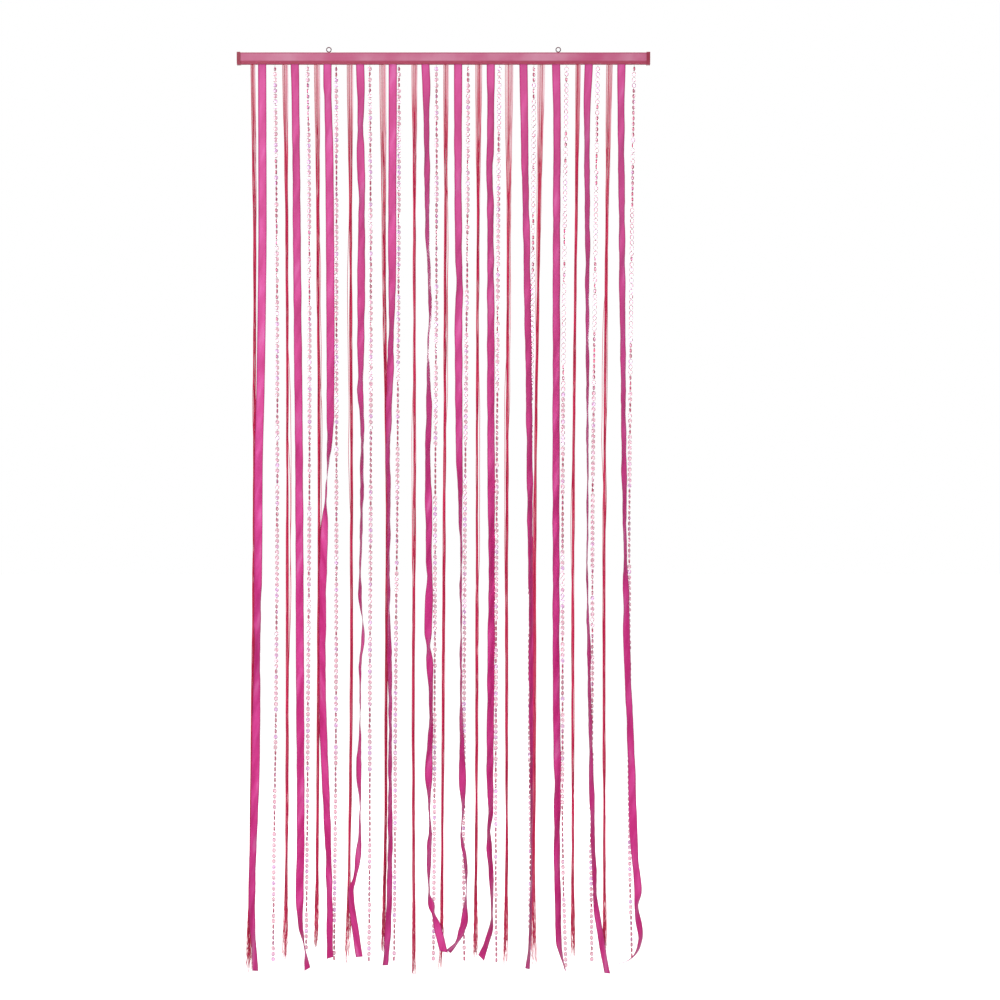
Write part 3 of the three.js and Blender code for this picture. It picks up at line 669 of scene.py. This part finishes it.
class Strands:
    """Points, faces and values of many thin round strands, gathered into one mesh."""

    def __init__(self):
        self.points, self.faces, self.uvs, self.tones, self.slots = [], [], [], [], []

    def lay(self, centres, radii, sides, tones, slot=0, start=0.0):
        """Adds one strand, capped at both ends, through centres, from the top down, its UV from
        start.
        """
        first = len(self.points)
        run = 0.0
        for i, (centre, radius, tone) in enumerate(zip(centres, radii, tones)):
            if i:
                run += (centre - centres[i - 1]).length
            along = centres[min(i + 1, len(centres) - 1)] - centres[max(i - 1, 0)]
            along.normalize()
            flat = (Vector((1, 0, 0)) - along * along.x).normalized()
            deep = along.cross(flat)
            for side in range(sides):
                angle = 2 * math.pi * side / sides
                turned = flat * math.cos(angle) + deep * math.sin(angle)
                self.points.append(centre + turned * radius)
                self.uvs.append((side / sides, start + run))
                self.tones.append(tone)
        for ring in range(len(centres) - 1):
            for side in range(sides):
                a = first + ring * sides + side
                b = first + ring * sides + (side + 1) % sides
                self.faces.append((a, b, b + sides, a + sides))
                self.slots.append(slot)
        last = first + (len(centres) - 1) * sides
        self.faces.append(tuple(first + side for side in reversed(range(sides))))
        self.faces.append(tuple(last + side for side in range(sides)))
        self.slots += [slot, slot]

    def piece(self, name, *materials):
        made = new_piece(name, self.points, self.faces)
        corner_uv(made, self.uvs)
        point_values(made, "tone", self.tones)
        for material in materials:
            made.data.materials.append(material)
        made.data.polygons.foreach_set("material_index", self.slots)
        smooth(made)
        return made


def bundle_places(count, reach):
    """Places of a bundle's cords round its middle, by the sunflower rule, left to right."""
    places = []
    for k in range(count):
        radius = reach * math.sqrt((k + 0.5) / count)
        angle = k * 2.39996
        places.append((radius * math.cos(angle), radius * math.sin(angle)))
    return sorted(places)


def hang_yarn(group, sizes, material):
    """One bundle of knitted cords that fan out at the rail, close up, and fray at their ends."""
    rng = random.Random(YARN_SEED + group)
    root, fan, gather, shifts, depth, length, fray, ragged = YARNS[group]
    root += FIRST_RIBBON + group * GROUP_PITCH
    centre = hanging_line(root, shifts, depth, length)
    bundle_radius, filament_radius, loose_radius = 3.15, 0.3, 0.32
    # A stray cord leaves the bundle over this drop, and comes back over as much.
    stray_over = 160
    places = bundle_places(sizes.cords, bundle_radius)
    middle = (sizes.cords - 1) / 2
    strays = set(rng.sample(range(sizes.cords), 2))
    strands = Strands()
    for k, (px, py) in enumerate(places):
        order = (k - middle) / middle
        end = length - ragged * rng.random() ** 2.4 - 4
        wander = Wander(rng, (640, 290, 150))
        sway = Wander(rng, (450, 210))
        curl = Wander(rng, (34, 21))
        shades = Wander(rng, (420, 190))
        stray = rng.uniform(2.5, 5.5) * (1 if order >= 0 else -1) if k in strays else 0
        stray_from = rng.uniform(100, 900)
        stray_to = stray_from + rng.uniform(350, 800)
        own_tone = rng.uniform(0.2, 1.1)
        # The crimson cords gather on the left of the fan, and those on its right are painted pale
        # there as painted light.
        painted_pale_side = order > rng.uniform(-0.4, 0.8)
        painted_fan_light = rng.uniform(1.0, 1.7) if painted_pale_side else rng.uniform(0.0, 0.3)
        centres, radii, tones = [], [], []
        for drop in drops_between(ROOT_START, end, CORD_RINGS):
            gathered = ease(drop, 0, gather)
            loose = ease(drop, end - LOOSE_END, end)
            spread = fan * (1 - gathered) + 0.36 * fray * loose
            turn = math.pi * ease(drop, gather, HALF_TURN_DROP) + 0.5 * gathered * sway.at(drop)
            free = ease(drop, 20, 240)
            apart = stray * ease(drop, stray_from, stray_from + stray_over)
            apart *= 1 - ease(drop, stray_to - stray_over, stray_to)
            x = px + spread * order + free * 0.6 * wander.at(drop) + 0.9 * loose * curl.at(drop)
            y = py * (0.6 + 0.4 * gathered) + free * 0.6 * sway.at(drop)
            at = centre(drop)
            at.x += x * math.cos(turn) - y * math.sin(turn) + apart
            at.y += x * math.sin(turn) + y * math.cos(turn)
            centres.append(at)
            slim = (0.6 + 0.4 * gathered) * (1 - 0.3 * ease(drop, end - 30, end))
            radii.append(sizes.cord_radius / MM * slim)
            # Where the cords fan out, light gets between them: painted light makes them paler.
            tones.append(own_tone + 0.35 * shades.at(drop) + painted_fan_light * (1 - gathered))
        strands.lay(centres, radii, 5, tones, start=rng.uniform(0, 90000))
    # Fine pale filaments that run beside the cords, mostly on the bundle's right, and rejoin it.
    for _ in range(sizes.filaments):
        side = rng.uniform(-0.5, 1.0)
        reach = fan + rng.uniform(1.6, 3.4)
        joins = gather * rng.uniform(0.9, 2.1)
        leaves = rng.uniform(1500, 1800)
        wander = Wander(rng, (260, 120))
        pale = rng.uniform(1.45, 2.0)
        end = length - rng.uniform(0, ragged) - 4
        centres = []
        for drop in drops_between(ROOT_START, end, FILAMENT_RINGS):
            out = 1 - 0.8 * ease(drop, 40, joins) + 0.6 * ease(drop, leaves, leaves + 200)
            at = centre(drop)
            at.x += side * reach * out + 0.7 * ease(drop, 20, 200) * wander.at(drop)
            at.y += 2.2 - abs(side)
            centres.append(at)
        strands.lay(centres, [filament_radius] * len(centres), 3, [pale] * len(centres))
    # Loose curly threads at the ends of the cords.
    for _ in range(LOOSE_THREADS):
        start = length - rng.uniform(60, 230)
        end = min(start + rng.uniform(60, 160), length + rng.uniform(-12, 4))
        side = rng.uniform(-1, 1)
        kink = Wander(rng, (46, 25))
        centres, radii = [], []
        for drop in drops_between(start, end, THREAD_RINGS, least=4):
            out = ease(drop, start, end)
            at = centre(drop)
            at.x += side * (1.8 + fray * out) + out * 2.0 * kink.at(drop)
            at.y += 1.6 * kink.at(drop + 40) + side * out
            centres.append(at)
            radii.append(loose_radius * (1 - 0.3 * out))
        strands.lay(centres, radii, 3, [rng.uniform(0.8, 1.9)] * len(centres))
    piece = strands.piece(f"yarn_bundle_{group + 1:02d}", material)
    mount(piece, f"yarn_{group + 1:02d}")


def cut_bead(sizes):
    """Models one flat bead with cut corners, a slanted step and a table on both sides."""
    deselect()
    # The straight girdle between the two steps takes this much of the depth.
    girdle = sizes.bead_depth * 0.42
    rise = (sizes.bead_depth - girdle) / 2
    bpy.ops.mesh.primitive_cube_add(size=1, location=(0, 0, 0))
    bead = bpy.context.active_object
    bead.scale = (sizes.bead_width, girdle, sizes.bead_height)
    bpy.ops.object.transform_apply(location=False, rotation=False, scale=True)
    start_shaping("EDGE")
    select(bead, "edges", lambda edge: abs(edge.verts[0].co.y - edge.verts[1].co.y) > 0.1 * MM)
    bpy.ops.mesh.bevel(offset=sizes.bead_corner, segments=1, affect="EDGES")
    bpy.ops.mesh.select_mode(type="FACE")
    for side in (-1, 1):
        select(bead, "faces", lambda face: face.normal.y * side > 0.9)
        bpy.ops.mesh.inset(thickness=sizes.bead_step, use_even_offset=True)
        bpy.ops.transform.translate(value=(0, side * rise, 0))
    bpy.ops.mesh.select_all(action="SELECT")
    bpy.ops.mesh.normals_make_consistent(inside=False)
    bpy.ops.object.mode_set(mode="OBJECT")
    return bead


def string_beads(group, sizes, bead, acrylic, thread):
    """One thread of beads: copies of the cut bead that turn about the thread in slow runs."""
    rng = random.Random(BEAD_SEED + group)
    root, shifts, depth, length = BEADS[group]
    root += FIRST_RIBBON + group * GROUP_PITCH
    centre = hanging_line(root, shifts, depth, length)
    strands = Strands()
    rings = int((length - ROOT_START) / THREAD_RINGS)
    # The thread ends inside the last bead.
    run = length - 3 - ROOT_START
    drops = [ROOT_START + run * ring / rings for ring in range(rings + 1)]
    limp = Wander(rng, (90, 37))
    line = [centre(drop) + Vector((0.25 * limp.at(drop), 0.25 * limp.at(drop + 50), 0))
            for drop in drops]
    strands.lay(line, [sizes.thread_radius / MM] * len(line), 4, [0.5] * len(line), slot=1)
    rims = [0.0] * len(strands.points)
    shape = [vertex.co / MM for vertex in bead.data.vertices]
    faces = [tuple(face.vertices) for face in bead.data.polygons]
    # Points nearer the middle than this are on a bead's rim, and the others on its two tables.
    table = sizes.bead_depth / MM * 0.45
    # The last bead hangs at the thread's end, and the pitch is stretched to reach it.
    first_bead = 4
    reach = length - 4.5
    count = round(reach / (sizes.bead_pitch / MM) + 0.5)
    pitch = reach / (count - 0.5)
    turn = rng.uniform(-0.4, 0.4)
    slow = Wander(rng, (210, 96))
    for k in range(count):
        drop = first_bead + (k + 0.5) * pitch + rng.uniform(-0.4, 0.4)
        # Runs of beads face the viewer, then a few stand on edge.
        if rng.random() < NEW_RUN:
            on_edge = rng.random() < ON_EDGE
            turn = (math.pi / 2 if on_edge else 0) + rng.uniform(-0.4, 0.4)
        angle = turn + 0.2 * slow.at(drop) + rng.uniform(-0.12, 0.12)
        pose = Matrix.Rotation(angle, 3, "Z") @ Matrix.Rotation(rng.uniform(-0.09, 0.09), 3, "Y")
        tone = rng.random()
        place = centre(drop)
        first = len(strands.points)
        for point in shape:
            strands.points.append(place + pose @ point)
            strands.uvs.append((point.x, point.z))
            strands.tones.append(tone)
            rims.append(0.0 if abs(point.y) > table else 1.0)
        for face in faces:
            strands.faces.append(tuple(first + corner for corner in face))
            strands.slots.append(0)
    piece = strands.piece(f"bead_string_{group + 1:02d}", acrylic, thread)
    point_values(piece, "rim", rims)
    flat = [index == 1 for index in strands.slots]
    piece.data.polygons.foreach_set("use_smooth", flat)
    mount(piece, f"beads_{group + 1:02d}")


def screw_eye(side, sizes, material):
    """A screw eye: a ring of wire with no gap, on a shank, with a pressed collar on the rail."""
    deselect()
    x = side * EYE_OFFSET * MM
    wire = sizes.wire_radius
    ring = sizes.eye_radius
    buried = 9 * MM
    collar_height, collar_radius = 1.2 * MM, 2.2 * MM
    swell = 0.9 * MM
    seat = SEAT_GAP * MM
    middle = seat + collar_height + ring + wire / 2
    bpy.ops.mesh.primitive_torus_add(
        location=(x, 0, middle), rotation=(math.pi / 2, 0, 0), major_radius=ring,
        minor_radius=wire, major_segments=56, minor_segments=18)
    loop = placed()
    deselect()
    shank = buried + seat + collar_height
    bpy.ops.mesh.primitive_cylinder_add(
        vertices=28, radius=wire, depth=shank, location=(x, 0, shank / 2 - buried))
    stem = placed()
    start_shaping("FACE")
    # The top of the stem swells into the ring, and its foot comes to a point.
    select(stem, "faces", lambda face: face.normal.z > 0.9)
    bpy.ops.mesh.extrude_region_move(TRANSFORM_OT_translate={"value": (0, 0, swell)})
    bpy.ops.transform.resize(value=(1.7, 1, 1), center_override=(x, 0, shank - buried + swell))
    select(stem, "faces", lambda face: face.normal.z < -0.9)
    bpy.ops.mesh.extrude_region_move(TRANSFORM_OT_translate={"value": (0, 0, -0.05 * MM)})
    bpy.ops.transform.resize(value=(0.2, 0.2, 1), center_override=(x, 0, -buried))
    deselect()
    bpy.ops.mesh.primitive_cylinder_add(
        vertices=32, radius=collar_radius, depth=collar_height,
        location=(x, 0, seat + collar_height / 2))
    collar = placed()
    start_shaping("FACE")
    select(collar, "faces", lambda face: face.normal.z > 0.9)
    bpy.ops.mesh.bevel(offset=0.45 * MM, segments=3, affect="EDGES")
    deselect()
    for part in (loop, stem, collar):
        part.select_set(True)
    bpy.context.view_layer.objects.active = loop
    bpy.ops.object.join()
    eye = bpy.context.active_object
    name = "left" if side < 0 else "right"
    eye.name = f"screw_eye_{name}"
    bpy.ops.object.shade_smooth_by_angle(angle=math.radians(40))
    eye.data.materials.clear()
    eye.data.materials.append(material)
    mount(eye, f"eye_{name}")


def dress(node, material):
    """Gives a solid that stays its finished material."""
    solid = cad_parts[node]
    solid.data.materials.clear()
    solid.data.materials.append(material)


def soft_light(name, place, target, size, power):
    data = bpy.data.lights.new(name, "AREA")
    data.shape = "RECTANGLE"
    data.size, data.size_y = size
    data.energy = power
    light = bpy.data.objects.new(name, data)
    bpy.context.scene.collection.objects.link(light)
    light.location = place
    light.rotation_euler = (Vector(target) - light.location).to_track_quat("-Z", "Y").to_euler()


# Sizes and colours that a user would change.
def size(name, description, millimetres):
    return bpy.props.FloatProperty(name=name, description=description, subtype="DISTANCE",
                                   unit="LENGTH", default=millimetres * MM, min=0.01 * MM)


def colour(name, description, code):
    return bpy.props.FloatVectorProperty(name=name, description=description, subtype="COLOR",
                                         size=4, min=0, max=1, default=linear(code))


class CurtainSizes(bpy.types.PropertyGroup):
    """Sizes of the hanging pieces."""

    ribbon_width: size("Ribbon width", "Width that the ribbon is woven to", 18)
    ribbon_thickness: size("Ribbon thickness", "Thickness of the woven satin", 0.4)
    cord_radius: size("Cord radius", "Half the thickness of one knitted cord", 0.62)
    cords: bpy.props.IntProperty(name="Cords", description="Cords in each yarn bundle",
                                 default=13, min=3, max=30)
    filaments: bpy.props.IntProperty(name="Filaments", description="Pale threads beside the cords",
                                     default=9, min=0, max=20)
    bead_width: size("Bead width", "Width of a bead across its table", 7.7)
    bead_height: size("Bead height", "Length of a bead along its thread", 9.1)
    bead_depth: size("Bead depth", "Thickness of a bead from table to table", 4)
    bead_corner: size("Bead corner", "How far each corner of a bead is cut back", 2.2)
    bead_step: size("Bead step", "Width of the slanted step round a bead's table", 1.25)
    bead_pitch: size("Bead pitch", "Distance from one bead to the next", 11.8)
    thread_radius: size("Thread radius", "Half the thickness of the beads' thread", 0.28)
    eye_radius: size("Eye radius", "Radius of the screw eye's ring to the middle of its wire", 5)
    wire_radius: size("Wire radius", "Half the thickness of the screw eye's wire", 1)


class CurtainColours(bpy.types.PropertyGroup):
    """Colours of the finishes."""

    ribbon: colour("Ribbon", "Satin where it lies flat", 0xCA3884)
    # Painted shade: the satin in its crease clouds and towards its edges.
    ribbon_deep: colour("Ribbon deep", "Satin in its darker clouds and by its edges", 0xB81E6C)
    # Painted gloss, painted light on the upper metre, and the paler slubs and weft dots.
    ribbon_gloss: colour("Ribbon gloss", "Satin's gloss, slubs and bleached part", 0xDE8CBE)
    selvedge: colour("Selvedge", "Corded edge of the ribbon", 0x8E1046)
    gloss_tint: colour("Gloss tint", "Tint of the satin's gloss", 0xCDB8FF)
    yarn: colour("Yarn", "Cords in the light", 0xDA1256)
    yarn_deep: colour("Yarn deep", "Darker cords of a bundle", 0xBC0C44)
    # Painted shade in the gaps between the stitches.
    yarn_shadow: colour("Yarn shadow", "Gaps between the stitches", 0x900834)
    # Painted highlight on the stitch crowns, and the pale viscose and fuzz.
    yarn_pale: colour("Yarn pale", "Crowns of the stitches and fuzz", 0xE8A4B4)
    bead_lavender: colour("Bead lavender", "Lavender side of the lustre", 0xF0D2F2)
    bead_rose: colour("Bead rose", "Pearl lustre in a bead's middle", 0xF4CCD8)
    bead_peach: colour("Bead peach", "Peach side of the lustre", 0xF8E0DA)
    bead_cool: colour("Bead cool", "Cool flashes of the lustre", 0xE2E4F6)
    # Painted shade on the slanted facets and edges.
    bead_painted_rim_shade: colour("Bead cherry", "Edges and slanted facets of a bead", 0xC03A62)
    thread: colour("Thread", "Brown thread in the light", 0xB08458)
    # Painted shade between the plies.
    thread_painted_shade: colour("Thread dark", "Brown thread between its plies", 0x74503A)
    rail: colour("Rail", "Dusky pink skin of the rail", 0xA9406A)
    rail_worn: colour("Rail worn", "Chalky bloom on the rail", 0xBA7890)
    # Painted shade on the rail's lip and top edge.
    rail_painted_band_shade: colour("Rail lip", "Redder lip and edge of the rail", 0x942A48)
    cap: colour("Cap", "Deeper pink of the end caps", 0x7E0A2C)
    cap_worn: colour("Cap worn", "Chalky bloom on the caps", 0x901C40)
    # Painted reflection of the pink around the screw eyes, darker in the dull spots.
    wire: colour("Wire", "Nickel of the screw eyes", 0x5C2E3E)
    wire_dull_and_reflection: colour("Wire dull", "Dull maroon spots on the nickel", 0x2C0E1A)


class CURTAIN_OT_stage(bpy.types.Operator):
    """Adds the camera, the pale floor and the soft studio light"""

    bl_idname = "curtain.stage"
    bl_label = "Stage and camera"

    def execute(self, context):
        scene = context.scene
        data = bpy.data.cameras.new("photo_camera")
        data.lens = 85
        data.sensor_width = 36
        camera = bpy.data.objects.new("photo_camera", data)
        scene.collection.objects.link(camera)
        # The photo shows 2.18 m across at the curtain, with the rail's middle left of its centre.
        camera.location = (0.123, -5.147, -0.9745)
        camera.rotation_euler = (math.pi / 2, 0, 0)
        scene.camera = camera
        deselect()
        bpy.ops.mesh.primitive_plane_add(size=60, location=(0, 0, -2.1))
        floor = placed()
        floor.name = "paper_floor"
        floor.data.materials.append(studio_paper())
        # The paper lights nothing, so the light on the curtain comes from the front.
        floor.visible_diffuse = False
        world = bpy.data.worlds.new("white_studio")
        scene.world = world
        world.use_nodes = True
        # White where it is seen, also through the beads, and a dimmer surround that lights.
        tree = world.node_tree
        add = partial(add_node, tree)
        ray = add("LightPath").outputs
        seen = add("Math", (ray["Is Camera Ray"], ray["Is Transmission Ray"]), operation="MAXIMUM")
        strength = add("Math", (seen, 0.55, 0.45), operation="MULTIPLY_ADD")
        background = tree.nodes["Background"].inputs
        background["Color"].default_value = (1, 1, 1, 1)
        tree.links.new(strength.outputs[0], background["Strength"])
        scene.view_settings.view_transform = "Standard"
        middle = (0, 0, -0.9)
        soft_light("key_light", (-1.3, -3.6, -0.5), middle, (1.2, 2.2), 98)
        soft_light("fill_light", (2.2, -3.2, -1.0), middle, (1.4, 2.2), 36)
        soft_light("back_light", (0.9, 3.6, 0.5), middle, (1.6, 2.2), 88)
        # A broad light from above keeps the paper white.
        top = bpy.data.lights.new("top_light", "SUN")
        top.energy = 2.1
        top.angle = math.radians(40)
        scene.collection.objects.link(bpy.data.objects.new("top_light", top))
        return {"FINISHED"}


class CURTAIN_OT_rail(bpy.types.Operator):
    """Finishes the rail and its end caps in satin pink plastic"""

    bl_idname = "curtain.rail"
    bl_label = "Rail and end caps"

    def execute(self, context):
        colours = context.scene.curtain_colours
        extruded = satin_plastic("extruded_pink_styrene", colours.rail, colours.rail_worn,
                                 (4, 900, 900), lip=colours.rail_painted_band_shade)
        moulded = satin_plastic("moulded_pink_styrene", colours.cap, colours.cap_worn,
                                (300, 300, 300))
        dress("rail", extruded)
        dress("cap_left", moulded)
        dress("cap_right", moulded)
        return {"FINISHED"}


class CURTAIN_OT_eyes(bpy.types.Operator):
    """Models the two plated screw eyes that the curtain hangs by"""

    bl_idname = "curtain.eyes"
    bl_label = "Screw eyes"

    def execute(self, context):
        material = plated_wire(context.scene.curtain_colours)
        for side in (-1, 1):
            screw_eye(side, context.scene.curtain_sizes, material)
        return {"FINISHED"}


class CURTAIN_OT_ribbons(bpy.types.Operator):
    """Hangs the twelve satin ribbons"""

    bl_idname = "curtain.ribbons"
    bl_label = "Satin ribbons"

    def execute(self, context):
        sizes = context.scene.curtain_sizes
        material = satin_ribbon(sizes, context.scene.curtain_colours)
        for group in range(GROUPS):
            hang_ribbon(group, sizes, material)
        return {"FINISHED"}


class CURTAIN_OT_yarn(bpy.types.Operator):
    """Hangs the twelve bundles of knitted cord"""

    bl_idname = "curtain.yarn"
    bl_label = "Yarn bundles"

    def execute(self, context):
        material = knitted_cord(context.scene.curtain_colours)
        for group in range(GROUPS):
            hang_yarn(group, context.scene.curtain_sizes, material)
        return {"FINISHED"}


class CURTAIN_OT_beads(bpy.types.Operator):
    """Cuts one flat bead and strings it down twelve threads"""

    bl_idname = "curtain.beads"
    bl_label = "Strings of beads"

    def execute(self, context):
        sizes = context.scene.curtain_sizes
        colours = context.scene.curtain_colours
        acrylic = pearly_acrylic(colours)
        thread = waxed_thread(colours)
        bead = cut_bead(sizes)
        faces = len(bead.data.polygons)
        if faces != BEAD_FACES:
            raise RuntimeError(f"the cut bead has {faces} faces and not {BEAD_FACES}")
        for group in range(GROUPS):
            string_beads(group, sizes, bead, acrylic, thread)
        bpy.data.objects.remove(bead)
        return {"FINISHED"}


STEPS = (CURTAIN_OT_stage, CURTAIN_OT_rail, CURTAIN_OT_eyes, CURTAIN_OT_ribbons,
         CURTAIN_OT_yarn, CURTAIN_OT_beads)


class CURTAIN_PT_pieces(bpy.types.Panel):
    """Lists the curtain's pieces, sizes and colours"""

    bl_idname = "CURTAIN_PT_pieces"
    bl_label = "Ribbon door curtain"
    bl_space_type = "VIEW_3D"
    bl_region_type = "UI"
    bl_category = "Curtain"

    def draw(self, context):
        layout = self.layout
        for step in STEPS:
            layout.operator(step.bl_idname)
        for group in (context.scene.curtain_sizes, context.scene.curtain_colours):
            box = layout.box()
            for name in group.__annotations__:
                box.prop(group, name)


CLASSES = (CurtainSizes, CurtainColours, *STEPS, CURTAIN_PT_pieces)


def register():
    for kind in CLASSES:
        bpy.utils.register_class(kind)
    bpy.types.Scene.curtain_sizes = bpy.props.PointerProperty(type=CurtainSizes)
    bpy.types.Scene.curtain_colours = bpy.props.PointerProperty(type=CurtainColours)


def unregister():
    del bpy.types.Scene.curtain_sizes
    del bpy.types.Scene.curtain_colours
    for kind in reversed(CLASSES):
        bpy.utils.unregister_class(kind)


def main():
    register()
    bpy.ops.curtain.stage()
    bpy.ops.curtain.rail()
    bpy.ops.curtain.eyes()
    bpy.ops.curtain.ribbons()
    bpy.ops.curtain.yarn()
    bpy.ops.curtain.beads()


if __name__ == "__main__":
    main()
